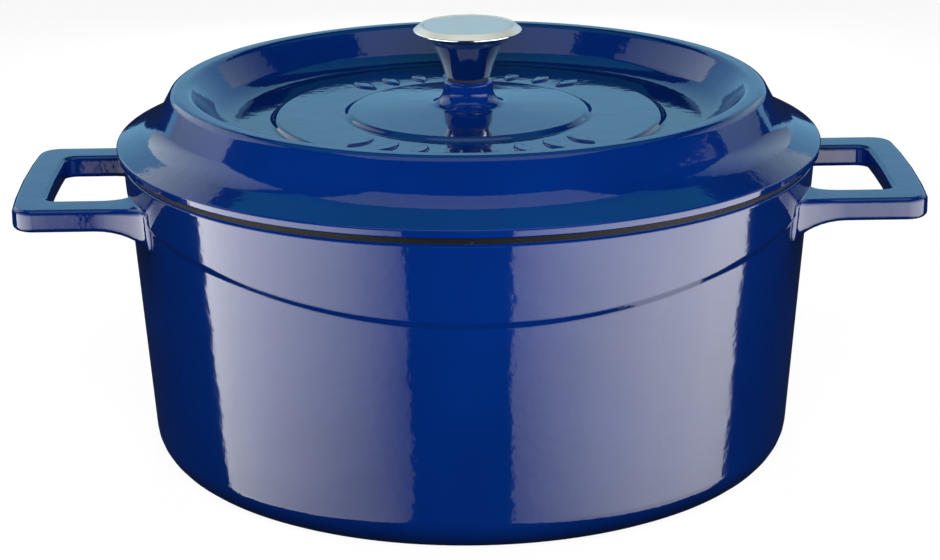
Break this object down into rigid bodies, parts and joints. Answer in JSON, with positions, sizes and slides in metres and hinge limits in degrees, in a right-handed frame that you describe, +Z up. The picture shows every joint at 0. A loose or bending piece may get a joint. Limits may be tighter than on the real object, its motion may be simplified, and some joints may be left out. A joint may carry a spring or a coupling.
{
  "type": "cast iron dutch oven",
  "caption": "Round enamelled cast iron dutch oven with two loop handles, a lift-off domed-rim lid and a screwed-on metal knob, for stewing, braising and baking.",
  "frame": {"origin": "centre of the pot's flat base, on the surface it stands on", "axes": "+Z up along the pot's, lid's and knob's shared axis; X runs through the two loop handles; -Y is the front"},
  "size_m": [0.3698, 0.2888, 0.1786],
  "materials": {
    "blue_enamel": "glossy cobalt blue vitreous enamel outside, matte black enamel inside and on the rim",
    "blue_enamel_lid": "glossy cobalt blue vitreous enamel on top, matte black enamel underneath",
    "polished_knob": "polished stainless steel",
    "satin_face": "satin",
    "gasket_rubber": "matte silicone",
    "fastener_steel": "plain stainless steel"
  },
  "bodies": {
    "pot": {"pot": "blue_enamel"},
    "lid": {"lid": "blue_enamel_lid", "knob": "polished_knob", "knob_face": "satin_face", "knob_gasket": "gasket_rubber", "flat_washer": "fastener_steel", "spring_washer": "fastener_steel", "knob_screw": "fastener_steel"}
  },
  "joints": [
    {"name": "lid_lift", "type": "slide", "parent": "pot", "child": "lid", "axis": [0, 0, 1], "range_m": [0, 0.15]}
  ]
}
